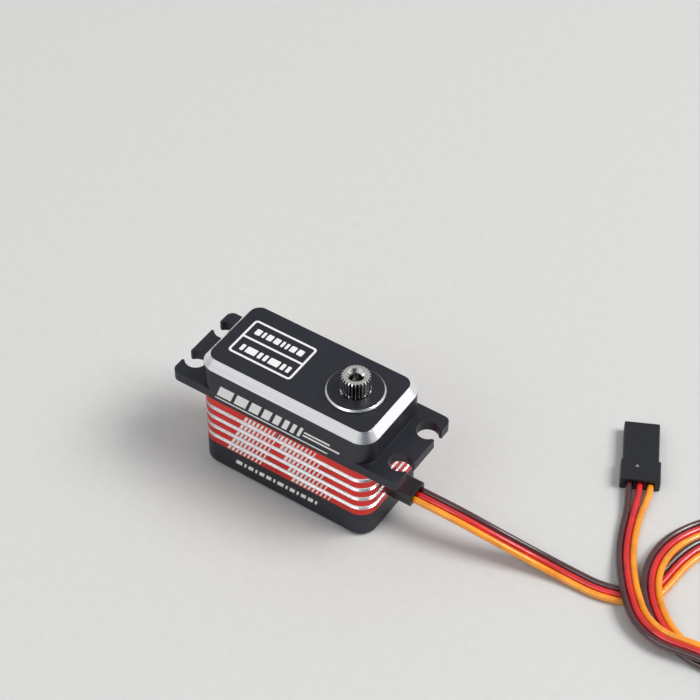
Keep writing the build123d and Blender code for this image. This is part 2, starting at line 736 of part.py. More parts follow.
def connector_housing():
    """The moulded housing with three terminal cavities, pin holes and latch windows."""
    rear, front = PLUG_REAR_WIDTH / 2, PLUG_FRONT_WIDTH / 2
    middle = PLUG_REAR_H / 2
    low, high = middle - PLUG_FRONT_H / 2, middle + PLUG_FRONT_H / 2
    body = box(0, PLUG_REAR_LENGTH, -rear, rear, 0, PLUG_REAR_H)
    body += box(PLUG_REAR_LENGTH - 0.5, PLUG_LENGTH, -front, front, low, high)
    body = chamfer(body.edges().filter_by(Axis.X), 0.25)
    size, hole, entry = TERMINAL_SIZE / 2, PIN_HOLE / 2, ENTRY_SIZE / 2
    for side in (-1, 0, 1):
        y = side * ENTRY_PITCH
        body -= box(-1, 1.2, y - entry, y + entry, middle - entry, middle + entry)
        y = side * PIN_PITCH
        body -= box(1, 1.2 + TERMINAL_LENGTH, y - size, y + size, middle - size, middle + size)
        body -= box(5, PLUG_LENGTH + 1, y - hole, y + hole, middle - hole, middle + hole)
        body -= box(7.6, 9.4, y - 0.6, y + 0.6, -1, middle)
    return plug_place(body)


def connector_terminals():
    """Three crimped socket terminals, one in each cavity."""
    middle = PLUG_REAR_H / 2
    size, hole = TERMINAL_SIZE / 2 - 0.02, 0.5
    low, high = 1.25, 1.15 + TERMINAL_LENGTH
    pieces = []
    for y in (-PIN_PITCH, 0, PIN_PITCH):
        terminal = box(low, high, y - size, y + size, middle - size, middle + size)
        pieces.append(terminal - box(low + 2.5, high + 1, y - hole, y + hole, middle - hole, middle + hole))
    return plug_place(group(pieces))


# Write every node -----------------------------------------------------------------------------------

save(top_case(), "top_case")
save(middle_case(), "middle_case")
save(bottom_cover(), "bottom_cover")
save(case_screws(), "case_screws")
upper_seal, lower_seal = seals()
save(upper_seal, "upper_seal")
save(lower_seal, "lower_seal")

save(output_shaft(), "output_shaft")
output_phase = driven_phase(PIN_A, OUTPUT_AT, OUTPUT_WHEEL[0])
save(gear(OUTPUT_AT, OUTPUT_WHEEL, GEAR_SEAT_R, output_phase), "output_gear")
for prefix, seat in (("upper", UPPER_BEARING), ("lower", LOWER_BEARING)):
    races = bearing(OUTPUT_AT, seat["bore"], seat["outer"], seat["low"], seat["high"])
    for race, part_name in zip(races, ("outer_race", "balls", "inner_race")):
        save(race, f"{prefix}_bearing_{part_name}")

save(
    reduction_gear(
        PIN_A,
        FIRST_WHEEL,
        FIRST_PINION,
        driven_phase(MOTOR_AT, PIN_A, FIRST_WHEEL[0]),
        driver_phase(PIN_A, PIN_B),
    ),
    "first_reduction_gear",
)
save(
    reduction_gear(
        PIN_B,
        SECOND_WHEEL,
        SECOND_PINION,
        driven_phase(PIN_A, PIN_B, SECOND_WHEEL[0]),
        driver_phase(PIN_B, PIN_A),
    ),
    "second_reduction_gear",
)
save(
    reduction_gear(
        PIN_A,
        THIRD_WHEEL,
        THIRD_PINION,
        driven_phase(PIN_B, PIN_A, THIRD_WHEEL[0]),
        driver_phase(PIN_A, OUTPUT_AT),
    ),
    "third_reduction_gear",
)
save(group(rod(at, PIN_R, PIN_BOTTOM, PIN_TOP) for at in (PIN_A, PIN_B)), "gear_pins")
save(gear(MOTOR_AT, PINION, MOTOR_BEARING["bore"], driver_phase(MOTOR_AT, PIN_A)), "motor_pinion")

save(motor_can(), "motor_can")
save(motor_end_cap(), "motor_end_cap")
save(stator_core(), "stator_core")
save(stator_windings(), "stator_windings")
save(tube(MOTOR_AT, MOTOR_BEARING["bore"], MAGNET_R, STATOR_LOW, STATOR_HIGH), "rotor_magnet")
save(rotor_shaft(), "rotor_shaft")
save(motor_bearings(), "motor_bearings")
save(motor_screws(), "motor_screws")
save(phase_leads(), "motor_leads")

save(sensor_body(), "position_sensor")
save(sensor_shaft(), "sensor_shaft")
save(sensor_leads(), "sensor_leads")
save(control_board(), "control_board")
save(board_chips(), "board_chips")
save(board_passives(), "board_passives")

save(strain_relief(), "strain_relief")
save(inner_wires(), "inner_wires")
save(lead_wire("brown", 1), "lead_wire_brown")
save(lead_wire("red", 0), "lead_wire_red")
save(lead_wire("orange", -1), "lead_wire_orange")
band = lead_tie()
save(lead_coil(band), "lead_coil")
save(band, "lead_tie")
save(connector_housing(), "connector_housing")
save(connector_terminals(), "connector_terminals")
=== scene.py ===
"""Looks of the low-profile servo motor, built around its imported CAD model.

Everything is in metres in the model's own frame: the origin is under the middle of the case,
+X points to the end with the output shaft and the lead, +Z is up.
"""

from math import cos, pi, radians, sin

import bmesh
import bpy
import numpy as np
from mathutils import Matrix, Vector


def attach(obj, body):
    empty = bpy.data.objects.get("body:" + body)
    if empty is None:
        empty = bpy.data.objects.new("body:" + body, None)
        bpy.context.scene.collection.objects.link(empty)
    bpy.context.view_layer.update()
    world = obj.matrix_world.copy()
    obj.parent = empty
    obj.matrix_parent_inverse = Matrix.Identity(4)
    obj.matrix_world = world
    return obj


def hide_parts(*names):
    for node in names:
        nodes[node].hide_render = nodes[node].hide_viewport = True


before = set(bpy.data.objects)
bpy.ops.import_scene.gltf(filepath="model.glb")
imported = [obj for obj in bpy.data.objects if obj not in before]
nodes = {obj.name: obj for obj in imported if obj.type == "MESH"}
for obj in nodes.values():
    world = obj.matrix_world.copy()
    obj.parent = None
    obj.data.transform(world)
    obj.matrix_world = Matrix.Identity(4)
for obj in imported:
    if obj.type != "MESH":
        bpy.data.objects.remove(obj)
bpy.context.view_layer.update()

MM = 0.001
scene = bpy.context.scene
scene.view_settings.view_transform = "Standard"

# Sizes shared with the CAD model, in millimetres
CASE_HALF_WIDTH = 10.1
CASE_TOP = 29.5
BEVEL_LOW = 27.5
BOSS_TOP = 30.1
SPLINE_TOP = 33.95
OUT_X = 10.8
GROOVE_LEVELS = [8.65, 11.4, 14.15, 16.9]
GROOVE_WIDTH = 1.05
WIRE_R = 0.7
WIRE_PITCH = 1.43
ENTRY_PITCH = 2.2
FAN_LENGTH = 9.0
PLUG_AT = (59.2, 32.5)
PLUG_WAY = (-0.445, 0.895)
PLUG_REAR_H = 3.0
LEAD_OUT = [
    (25.7, 0.0, 8.2),
    (30.2, 0.1, 8.1),
    (35.6, 0.6, 7.4),
    (41.5, 1.5, 5.8),
    (47.5, 2.8, 3.7),
    (53.3, 4.0, 1.8),
    (59.2, 4.6, 0.8),
    (64.8, 4.7, 0.75),
    (69.9, 6.1, 0.75),
    (73.9, 9.3, 0.75),
]
LEAD_BACK = [
    (86.2, 1.2, 2.25),
    (80.6, 0.1, 2.3),
    (75.0, 2.0, 2.4),
    (70.7, 6.6, 2.45),
    (67.6, 11.2, 1.6),
    (65.0, 15.8, 0.8),
    (63.0, 20.6, 0.75),
    (61.5, 25.6, 0.95),
    (60.3, 29.8, 1.4),
    (59.2, 32.5, 1.5),
]
COIL_CENTRE = (90.0, 18.5)
POINTS_PER_TURN = 16
# Turns from the coil's left side, then the radius and the height of the middle wire there
COIL_RADII = [
    (-0.045, 16.1),
    (0.0, 15.0),
    (0.25, 15.4),
    (0.5, 16.0),
    (0.75, 17.6),
    (0.9, 18.8),
    (1.0, 19.1),
    (1.2, 19.5),
    (1.5, 16.0),
    (1.72, 16.9),
]
COIL_HEIGHTS = [
    (-0.045, 0.75),
    (0.38, 0.75),
    (0.5, 1.08),
    (0.62, 0.75),
    (0.82, 0.75),
    (0.89, 2.2),
    (0.96, 2.2),
    (1.0, 1.9),
    (1.06, 0.8),
    (1.1, 0.8),
    (1.22, 2.2),
    (1.42, 2.22),
    (1.5, 2.5),
    (1.58, 2.22),
    (1.72, 2.2),
]


# Camera ------------------------------------------------------------------------------------

AZIMUTH = radians(33.22)
ELEVATION = radians(46.0)
ROLL = radians(0.68)
DISTANCE = 405.98 * MM
LENS = 103.44
TARGET = Vector((0.64, 13.31, 23.53)) * MM


def make_camera():
    back = Vector((sin(AZIMUTH) * cos(ELEVATION), -cos(AZIMUTH) * cos(ELEVATION), sin(ELEVATION)))
    right = Vector((cos(AZIMUTH), sin(AZIMUTH), 0))
    up = back.cross(right)
    turned_right = right * cos(ROLL) + up * sin(ROLL)
    turned_up = up * cos(ROLL) - right * sin(ROLL)
    data = bpy.data.cameras.new("camera")
    data.lens = LENS
    data.sensor_width = 36
    data.clip_start = 0.01
    camera = bpy.data.objects.new("camera", data)
    scene.collection.objects.link(camera)
    turn = Matrix((turned_right, turned_up, back)).transposed().to_4x4()
    camera.matrix_world = Matrix.Translation(TARGET + back * DISTANCE) @ turn
    scene.camera = camera


# Material building blocks --------------------------------------------------------------------

NOISE_ROUGHNESS = 0.55


class Shader:
    """A node material under construction, with short names for the usual nodes."""

    def __init__(self, name, colour, metallic, roughness, **sockets):
        self.material = bpy.data.materials.new(name)
        self.material.use_nodes = True
        self.tree = self.material.node_tree
        self.principled = self.tree.nodes["Principled BSDF"]
        self.principled.inputs["Base Color"].default_value = (*colour, 1)
        self.principled.inputs["Metallic"].default_value = metallic
        self.principled.inputs["Roughness"].default_value = roughness
        for socket, value in sockets.items():
            self.principled.inputs[socket.replace("_", " ")].default_value = value
        self.coordinates = self.tree.nodes.new("ShaderNodeTexCoord").outputs["Object"]

    def new(self, kind, **settings):
        node = self.tree.nodes.new(kind)
        for key, value in settings.items():
            setattr(node, key, value)
        return node

    def link(self, start, end):
        self.tree.links.new(start, end)

    def math(self, operation, first, second=None):
        node = self.new("ShaderNodeMath", operation=operation)
        for socket, value in zip(node.inputs, (first, second)):
            if value is None:
                continue
            if isinstance(value, (int, float)):
                socket.default_value = value
            else:
                self.link(value, socket)
        return node.outputs[0]

    def axis(self, name):
        """One coordinate of the surface point, in millimetres."""
        split = self.new("ShaderNodeSeparateXYZ")
        self.link(self.coordinates, split.inputs[0])
        return self.math("MULTIPLY", split.outputs[name], 1000.0)

    def noise(self, scale, detail=3.0, stretch=(1, 1, 1)):
        """Noise over the surface: scale is features per millimetre."""
        mapping = self.new("ShaderNodeMapping")
        mapping.inputs["Scale"].default_value = [1000 * s for s in stretch]
        self.link(self.coordinates, mapping.inputs["Vector"])
        node = self.new("ShaderNodeTexNoise")
        node.inputs["Scale"].default_value = scale
        node.inputs["Detail"].default_value = detail
        node.inputs["Roughness"].default_value = NOISE_ROUGHNESS
        self.link(mapping.outputs[0], node.inputs["Vector"])
        return node.outputs["Fac"]

    def spread(self, value, low, high, low_in=0.3, high_in=0.7):
        """Map a 0 to 1 value to another range."""
        node = self.new("ShaderNodeMapRange")
        node.inputs["From Min"].default_value = low_in
        node.inputs["From Max"].default_value = high_in
        node.inputs["To Min"].default_value = low
        node.inputs["To Max"].default_value = high
        self.link(value, node.inputs["Value"])
        return node.outputs["Result"]

    def mix(self, share, first, second):
        """Mix two colours, each a tuple or a socket, by a socket's share of the second."""
        node = self.new("ShaderNodeMix", data_type="RGBA")
        self.link(share, node.inputs["Factor"])
        for socket, value in ((node.inputs[6], first), (node.inputs[7], second)):
            if isinstance(value, tuple):
                socket.default_value = (*value, 1)
            else:
                self.link(value, socket)
        return node.outputs[2]

    def bump(self, height, depth, strength=1.0, edge=0.0):
        """Bump by a 0 to 1 height over a depth, and edges rounded to a radius, in millimetres."""
        node = self.new("ShaderNodeBump")
        node.inputs["Strength"].default_value = strength
        node.inputs["Distance"].default_value = depth * MM
        self.link(height, node.inputs["Height"])
        self.link(node.outputs[0], self.principled.inputs["Normal"])
        if edge:
            rounded = self.new("ShaderNodeBevel", samples=6)
            rounded.inputs["Radius"].default_value = edge * MM
            self.link(rounded.outputs[0], node.inputs["Normal"])

    def set(self, name, value):
        self.link(value, self.principled.inputs[name])

    def distance(self, x, y):
        """The distance from the origin of the plan."""
        squares = [self.math("MULTIPLY", value, value) for value in (x, y)]
        return self.math("SQRT", self.math("ADD", *squares))

    def between(self, value, low, high):
        """1 where low < value < high."""
        above = self.math("GREATER_THAN", value, low)
        below = self.math("LESS_THAN", value, high)
        return self.math("MULTIPLY", above, below)


BLACK = (0.052, 0.055, 0.066)
RED = (0.80, 0.050, 0.040)
METAL_DULL = (0.84, 0.84, 0.86)
METAL_BRIGHT = (0.94, 0.94, 0.95)
BLACK_ROUGHNESS = 0.42
RED_ROUGHNESS = 0.34
BOSS_BRIGHT_REACH = (5.5, 6.2)
BOSS_BRIGHT_DEPTH = 0.36
# Reaches, in millimetres, where painted shade darkens the spline's valleys and its bore
SPLINE_VALLEY_SHADE_REACH = (2.56, 2.86)
BORE_SHADE_REACH = 1.4


def machined(shader, body_colour, bright_share, body_roughness, blast):
    """Blasted, anodised metal with bright machined stretches where bright_share is 1."""
    cloud = shader.noise(0.12, 3.0)
    speckle = shader.noise(blast, 2.0)
    lines = shader.noise(1.0, 3.0, stretch=(0.03, 0.03, 7.0))
    dull = tuple(0.9 * c for c in body_colour)
    lively = tuple(min(1.0, 1.1 * c) for c in body_colour)
    body = shader.mix(shader.spread(cloud, 0, 1), dull, lively)
    body = shader.mix(shader.spread(speckle, 0.0, 0.2), body, tuple(0.7 * c for c in body_colour))
    metal = shader.mix(shader.spread(lines, 0, 1), METAL_DULL, METAL_BRIGHT)
    shader.set("Base Color", shader.mix(bright_share, body, metal))
    rough = shader.spread(speckle, body_roughness - 0.03, body_roughness + 0.05)
    bright_rough = shader.spread(lines, 0.20, 0.28)
    both = shader.new("ShaderNodeMix", data_type="FLOAT")
    shader.link(bright_share, both.inputs["Factor"])
    shader.link(rough, both.inputs[2])
    shader.link(bright_rough, both.inputs[3])
    shader.set("Roughness", both.outputs[0])
    height = shader.new("ShaderNodeMix", data_type="FLOAT")
    shader.link(bright_share, height.inputs["Factor"])
    shader.link(speckle, height.inputs[2])
    shader.link(lines, height.inputs[3])
    shader.bump(height.outputs[0], 0.004, 0.4, edge=0.12)


def black_case_material():
    shader = Shader("black_anodised_case", BLACK, 0.9, BLACK_ROUGHNESS)
    z = shader.axis("Z")
    bevel = shader.between(z, BEVEL_LOW + 0.02, CASE_TOP - 0.03)
    x = shader.math("SUBTRACT", shader.axis("X"), OUT_X)
    y = shader.axis("Y")
    reach = shader.distance(x, y)
    boss = shader.between(z, BOSS_TOP - BOSS_BRIGHT_DEPTH, BOSS_TOP - 0.01)
    boss = shader.math("MULTIPLY", boss, shader.between(reach, *BOSS_BRIGHT_REACH))
    machined(shader, BLACK, shader.math("MAXIMUM", bevel, boss), BLACK_ROUGHNESS, 9.0)
    return shader.material


def plain_black_material():
    """The same finish with no bright stretch: nothing of the part is below z = 0."""
    shader = Shader("black_anodised_cover", BLACK, 0.9, BLACK_ROUGHNESS)
    nowhere = shader.between(shader.axis("Z"), -2.0, -1.0)
    machined(shader, BLACK, nowhere, BLACK_ROUGHNESS, 9.0)
    return shader.material


def red_case_material():
    shader = Shader("red_anodised_case", RED, 0.85, RED_ROUGHNESS)
    z = shader.axis("Z")
    share = None
    for level in GROOVE_LEVELS:
        band = shader.between(z, level - GROOVE_WIDTH / 2 - 0.03, level + GROOVE_WIDTH / 2 + 0.03)
        share = band if share is None else shader.math("MAXIMUM", share, band)
    machined(shader, RED, share, RED_ROUGHNESS, 7.0)
    return shader.material


def spline_material():
    """Ground steel, with painted shade that darkens it between the teeth and down the bore."""
    shader = Shader("spline_steel", (0.74, 0.73, 0.71), 1.0, 0.2)
    x = shader.math("SUBTRACT", shader.axis("X"), OUT_X)
    reach = shader.distance(x, shader.axis("Y"))
    outside = shader.math("GREATER_THAN", reach, 2.1)
    below = shader.math("LESS_THAN", shader.axis("Z"), SPLINE_TOP - 0.1)
    side = shader.math("MULTIPLY", outside, below)
    # Painted shade in the valleys between the teeth, strongest at the roots and fading out towards the
    # tooth tips
    valley_shade = shader.math("MULTIPLY", side, shader.spread(reach, 1.0, 0.0, *SPLINE_VALLEY_SHADE_REACH))
    # Painted shade down the bore, below its mouth, at 0.35 of full strength
    deep = shader.math("LESS_THAN", shader.axis("Z"), SPLINE_TOP - 0.8)
    bore_shade = shader.math("MULTIPLY", deep, shader.math("LESS_THAN", reach, BORE_SHADE_REACH))
    dark = shader.math("MAXIMUM", valley_shade, shader.math("MULTIPLY", bore_shade, 0.35))
    grain = shader.noise(2.0, 2.0)
    steel = shader.mix(shader.spread(grain, 0, 1), (0.70, 0.69, 0.67), (0.80, 0.79, 0.77))
    # The painted shade pulls the steel colour towards near black
    shader.set("Base Color", shader.mix(dark, steel, (0.045, 0.043, 0.042)))
    shader.set("Roughness", shader.spread(grain, 0.16, 0.24))
    shader.bump(grain, 0.001, 0.2, edge=0.06)
    return shader.material


def steel_material(name, colour, roughness, scratch=6.0):
    shader = Shader(name, colour, 1.0, roughness)
    lines = shader.noise(1.0, 4.0, stretch=(scratch, scratch, 0.6))
    stain = shader.noise(0.8, 3.0)
    worn = tuple(0.72 * c for c in colour)
    base = shader.mix(shader.spread(stain, 0, 1), worn, colour)
    shader.set("Base Color", base)
    shader.set("Roughness", shader.spread(lines, roughness * 0.75, roughness * 1.35))
    shader.bump(lines, 0.002, 0.3)
    return shader.material


def plastic_material(name, colour, roughness, grain=5.0, depth=0.006, edge=0.0, **sockets):
    shader = Shader(name, colour, 0.0, roughness, **sockets)
    fine = shader.noise(grain, 3.0)
    broad = shader.noise(0.35, 2.0)
    dull = tuple(0.8 * c for c in colour)
    lively = tuple(min(1.0, 1.2 * c) for c in colour)
    shader.set("Base Color", shader.mix(shader.spread(broad, 0, 1), dull, lively))
    shader.set("Roughness", shader.spread(fine, roughness * 0.85, roughness * 1.2))
    shader.bump(fine, depth, 0.5, edge)
    return shader.material


def wire_material(name, colour):
    """Soft PVC: a satin sheath, slightly uneven along its length."""
    gloss = {"Specular_IOR_Level": 0.6, "Coat_Weight": 0.6, "Coat_Roughness": 0.1}
    return plastic_material(name, colour, 0.24, grain=1.2, depth=0.003, **gloss)


def mark_material():
    """Laser-etched silver: bare metal with a fine frosted grain."""
    shader = Shader("etched_silver", (0.90, 0.90, 0.89), 0.25, 0.45)
    grain = shader.noise(14.0, 2.0)
    shader.set("Base Color", shader.mix(shader.spread(grain, 0, 1), (0.82, 0.82, 0.81), (0.96, 0.96, 0.95)))
    shader.set("Roughness", shader.spread(grain, 0.38, 0.55))
    shader.bump(grain, 0.006, 0.6)
    return shader.material


def board_material():
    shader = Shader("solder_mask", (0.02, 0.16, 0.07), 0.0, 0.3)
    tracks = shader.new("ShaderNodeTexBrick")
    tracks.inputs["Scale"].default_value = 1.0
    mapping = shader.new("ShaderNodeMapping")
    mapping.inputs["Scale"].default_value = (700, 700, 700)
    shader.link(shader.coordinates, mapping.inputs["Vector"])
    shader.link(mapping.outputs[0], tracks.inputs["Vector"])
    tracks.inputs["Color1"].default_value = (0.018, 0.15, 0.065, 1)
    tracks.inputs["Color2"].default_value = (0.022, 0.18, 0.08, 1)
    tracks.inputs["Mortar"].default_value = (0.05, 0.28, 0.12, 1)
    shader.set("Base Color", tracks.outputs["Color"])
    shader.bump(tracks.outputs["Fac"], 0.02, 0.5)
    return shader.material


# Cords -----------------------------------------------------------------------------------------


def coil_points():
    """The turns of the coil, from the anchors of its radius and height."""
    turns = np.arange(COIL_RADII[0][0], COIL_RADII[-1][0] + 0.001, 1 / POINTS_PER_TURN)
    radii = np.interp(turns, *zip(*COIL_RADII))
    heights = np.interp(turns, *zip(*COIL_HEIGHTS))
    x, y = COIL_CENTRE
    return [
        (x + r * cos(pi - 2 * pi * t), y + r * sin(pi - 2 * pi * t), z)
        for t, r, z in zip(turns, radii, heights)
    ]


def route_line():
    """Points along the middle wire, read from a NURBS spline through the route."""
    route = LEAD_OUT + coil_points() + LEAD_BACK
    data = bpy.data.curves.new("lead_route", "CURVE")
    data.dimensions = "3D"
    spline = data.splines.new("NURBS")
    spline.points.add(len(route) - 1)
    for point, place in zip(spline.points, route):
        point.co = (*(c * MM for c in place), 1)
    spline.order_u = 3
    spline.use_endpoint_u = True
    spline.resolution_u = 10
    curve = bpy.data.objects.new("lead_route", data)
    mesh = bpy.data.meshes.new_from_object(curve)
    line = np.array([v.co for v in mesh.vertices])
    bpy.data.meshes.remove(mesh)
    bpy.data.objects.remove(curve)
    return line


def travelled(line):
    return np.concatenate([[0], np.cumsum(np.linalg.norm(np.diff(line, axis=0), axis=1))])


def beside(line, side):
    """The line moved sideways to one wire's place, and further apart just before the connector."""
    ahead = np.gradient(line, axis=0)
    left = np.stack([-ahead[:, 1], ahead[:, 0], np.zeros(len(line))], axis=1)
    left /= np.linalg.norm(left, axis=1)[:, None]
    along = travelled(line)
    fan = FAN_LENGTH * MM
    share = np.clip((along - along[-1] + fan) / fan, 0, 1)
    share = share * share * (3 - 2 * share)
    offset = side * MM * (WIRE_PITCH + (ENTRY_PITCH - WIRE_PITCH) * share)
    return line + left * offset[:, None]


def tube_mesh(name, line, radius, around=14):
    """A closed tube along a line, with its rings square to it."""
    ahead = np.gradient(line, axis=0)
    ahead /= np.linalg.norm(ahead, axis=1)[:, None]
    across = np.cross(ahead, (0, 0, 1.0))
    across /= np.linalg.norm(across, axis=1)[:, None]
    over = np.cross(across, ahead)
    angles = np.arange(around) * 2 * pi / around
    rings = (
        line[:, None]
        + radius * np.cos(angles)[None, :, None] * across[:, None]
        + radius * np.sin(angles)[None, :, None] * over[:, None]
    )
    points = rings.reshape(-1, 3).tolist()
    faces = []
    for i in range(len(line) - 1):
        for j in range(around):
            k = (j + 1) % around
            faces.append((i * around + j, (i + 1) * around + j, (i + 1) * around + k, i * around + k))
    faces.append(tuple(range(around)))
    faces.append(tuple(reversed(range((len(line) - 1) * around, len(line) * around))))
    return mesh_piece(name, points, faces, smooth=True)


def mesh_piece(name, points, faces, smooth=False):
    mesh = bpy.data.meshes.new(name)
    mesh.from_pydata(points, [], faces)
    edit = bmesh.new()
    edit.from_mesh(mesh)
    bmesh.ops.recalc_face_normals(edit, faces=edit.faces)
    edit.to_mesh(mesh)
    edit.free()
    mesh.update()
    for face in mesh.polygons:
        face.use_smooth = smooth
    piece = bpy.data.objects.new(name, mesh)
    scene.collection.objects.link(piece)
    return piece


# Each wire's side of the ribbon, in pitches to the left, and its colour
WIRES = {
    "brown": (1, (0.062, 0.018, 0.020)),
    "red": (0, (0.62, 0.010, 0.012)),
    "orange": (-1, (0.95, 0.30, 0.004)),
}


def make_lead(plug_mark):
    middle = route_line()
    for name, (side, colour) in WIRES.items():
        line = beside(middle, side)
        wire = tube_mesh(f"wire_{name}", line, WIRE_R * MM)
        wire.data.materials.append(wire_material(f"pvc_{name}", colour))
        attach(wire, "case")
        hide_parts(f"lead_wire_{name}", "lead_coil")


# Marks -----------------------------------------------------------------------------------------

MARK_T = 0.015
MARK_SINK = 0.003


def raised(name, outlines, lift, material):
    """Flat outlines, as lists of (u, v), made into thin plates. lift maps (u, v, height) to a place."""
    points, faces = [], []
    for outline in outlines:
        start, count = len(points), len(outline)
        points += [lift(u, v, 0.0) for u, v in outline] + [lift(u, v, MARK_T) for u, v in outline]
        faces.append(tuple(start + i for i in range(count)))
        faces.append(tuple(start + count + i for i in reversed(range(count))))
        for i in range(count):
            j = (i + 1) % count
            faces.append((start + i, start + j, start + count + j, start + count + i))
    piece = mesh_piece(name, [tuple(c * MM for c in p) for p in points], faces)
    piece.data.materials.append(material)
    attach(piece, "case")
    return piece


def on_roof(u, v, height):
    return (u, v, CASE_TOP - MARK_SINK + height)


def on_side(u, v, height):
    return (u, -CASE_HALF_WIDTH + MARK_SINK - height, v)


def on_plug(u, v, height):
    """u runs from the connector's rear to its tip, v to its left."""
    x = PLUG_AT[0] + u * PLUG_WAY[0] - v * PLUG_WAY[1]
    y = PLUG_AT[1] + u * PLUG_WAY[1] + v * PLUG_WAY[0]
    return (x, y, PLUG_REAR_H - MARK_SINK + height)


def leaning(x, z, width, height, lean):
    """A parallelogram with its lower left corner at (x, z)."""
    return [(x, z), (x + width, z), (x + width + lean, z + height), (x + lean, z + height)]


def rounded_outline(x0, y0, x1, y1, radius, steps=6):
    """A rounded rectangle, anticlockwise."""
    points = []
    left, right, low, high = x0 + radius, x1 - radius, y0 + radius, y1 - radius
    for x, y, start in ((right, low, -90), (right, high, 0), (left, high, 90), (left, low, 180)):
        for i in range(steps + 1):
            angle = radians(start + 90 * i / steps)
            points.append((x + radius * cos(angle), y + radius * sin(angle)))
    return points


def roof_label(material):
    """A rounded frame with a divider, and a row of plain blocks on each side of it."""
    x0, x1, y0, y1, line = -16.4, -1.4, -5.0, 5.0, 0.48
    outer = rounded_outline(x0, y0, x1, y1, 0.8)
    inner = rounded_outline(x0 + line, y0 + line, x1 - line, y1 - line, 0.4)
    count = len(outer)
    quads = [[outer[i], outer[(i + 1) % count], inner[(i + 1) % count], inner[i]] for i in range(count)]
    divider = -0.25
    quads.append(leaning(x0 + line, divider, x1 - x0 - 2 * line, line, 0))
    for low, high, gap, widths in (
        (1.5, 3.1, 0.45, (1.3, 0.6, 1.3, 1.3, 0.6, 0.6, 1.3, 1.3)),
        (-3.6, -1.9, 0.5, (0.8, 2.4, 0.8, 0.8, 2.4, 0.8, 0.8)),
    ):
        x = -14.6
        for width in widths:
            quads.append(rounded_outline(x, low, x + width, high, 0.2))
            x += width + gap
    raised("roof_label", quads, on_roof, material)


def side_stripes(material):
    """Leaning blocks that shorten along the upper case, over a thin line."""
    quads = []
    x = -15.6
    for width in (3.4, 2.8, 2.3, 1.9, 1.5, 1.2, 0.9, 0.7):
        quads.append(leaning(x, 21.4, width, 3.0, 1.1))
        x += width + 0.75
    quads.append(leaning(-16.1, 20.4, 27.0, 0.35, 0.13))
    quads.append(leaning(x, 22.1, 8.6, 0.5, 0.18))
    quads.append(leaning(x + 0.35, 23.1, 6.0, 0.5, 0.18))
    raised("side_stripes", quads, on_side, material)


def band_hatch(material):
    """Leaning ticks on each red band, in two groups that step along from band to band."""
    rims = [level + side * GROOVE_WIDTH / 2 for level in GROOVE_LEVELS for side in (-1, 1)]
    edges = [6.6] + rims + [19.2]
    quads = []
    for band in range(len(GROOVE_LEVELS) + 1):
        low, high = edges[2 * band] + 0.12, edges[2 * band + 1] - 0.12
        height = high - low
        for start, count in ((-13.6 + 1.1 * band, 9), (2.2 - 0.9 * band, 10)):
            for i in range(count):
                width = 0.62 - 0.035 * i
                quads.append(leaning(start + 0.98 * i, low, width, height, 0.45 * height))
    raised("band_hatch", quads, on_side, material)


def cover_dashes(material):
    """A row of small leaning dashes on the lower cover."""
    quads = []
    x = -11.6
    for width in (1.5, 0.5, 1.2, 0.5, 1.2, 1.2, 0.5) * 2:
        quads.append(leaning(x, 3.3, width, 1.15, 0.3))
        x += width + 0.52
    raised("cover_dashes", quads, on_side, material)


def plug_triangle():
    """The small moulded triangle that marks one side of the connector."""
    material = plastic_material("moulded_mark", (0.20, 0.20, 0.21), 0.35)
    return raised("plug_triangle", [[(3.5, 0.35), (4.3, 0.75), (3.5, 1.15)]], on_plug, material)


# Materials on the CAD parts ------------------------------------------------------------------------


JOIN_WITHIN = 0.004
SHARP_ANGLE = radians(28)


def dress(names, material):
    for name in names:
        nodes[name].data.materials.clear()
        nodes[name].data.materials.append(material)


def smooth_shading_group():
    """Joins faces along their shared edges, and shades them smooth except across sharp edges."""
    group = bpy.data.node_groups.new("joined_and_smooth", "GeometryNodeTree")
    for way in ("INPUT", "OUTPUT"):
        group.interface.new_socket("Geometry", in_out=way, socket_type="NodeSocketGeometry")
    add = group.nodes.new
    drop = add("GeometryNodeRemoveAttribute")
    drop.inputs["Name"].default_value = "custom_normal"
    join = add("GeometryNodeMergeByDistance")
    join.inputs["Distance"].default_value = JOIN_WITHIN * MM
    faces = add("GeometryNodeSetShadeSmooth")
    edges = add("GeometryNodeSetShadeSmooth")
    edges.domain = "EDGE"
    edges.inputs["Shade Smooth"].default_value = False
    sharp = add("FunctionNodeCompare")
    sharp.operation = "GREATER_THAN"
    sharp.inputs["B"].default_value = SHARP_ANGLE
    group.links.new(add("GeometryNodeInputMeshEdgeAngle").outputs[0], sharp.inputs["A"])
    group.links.new(sharp.outputs[0], edges.inputs["Selection"])
    shape = add("NodeGroupInput").outputs[0]
    for node in (drop, join, faces, edges):
        group.links.new(shape, node.inputs["Geometry"])
        shape = node.outputs[0]
    group.links.new(shape, add("NodeGroupOutput").inputs[0])
    return group


def smooth_shading():
    group = smooth_shading_group()
    for piece in nodes.values():
        piece.modifiers.new("shading", "NODES").node_group = group
        weighted = piece.modifiers.new("normals", "WEIGHTED_NORMAL")
        weighted.keep_sharp = True


